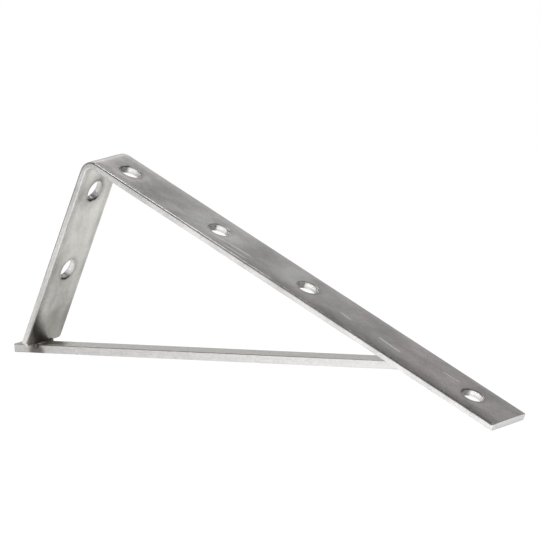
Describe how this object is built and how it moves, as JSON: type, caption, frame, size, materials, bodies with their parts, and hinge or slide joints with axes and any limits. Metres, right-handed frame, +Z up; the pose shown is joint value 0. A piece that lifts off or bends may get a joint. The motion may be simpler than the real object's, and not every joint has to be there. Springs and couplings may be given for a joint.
{
  "type": "channel support bracket",
  "caption": "Flat steel bar bent into an L with bolt holes in both arms, braced by a slanting flat bar welded across its open side.",
  "frame": {"origin": "on the wall face, midway between the two wall bolts and in the middle of the bar's width", "axes": "+X out of the wall, along the load arm; +Y across the bar; +Z up, from the foot of the wall arm to the load face"},
  "size_m": [0.2873, 0.03, 0.1255],
  "materials": {
    "bar_steel": "satin",
    "brace_steel": "satin",
    "weld_metal": "satin"
  },
  "bodies": {
    "root": {"angle_strip": "bar_steel", "brace_bar": "brace_steel", "lower_weld_front": "weld_metal", "lower_weld_back": "weld_metal", "upper_weld_front": "weld_metal", "upper_weld_back": "weld_metal"}
  },
  "joints": []
}
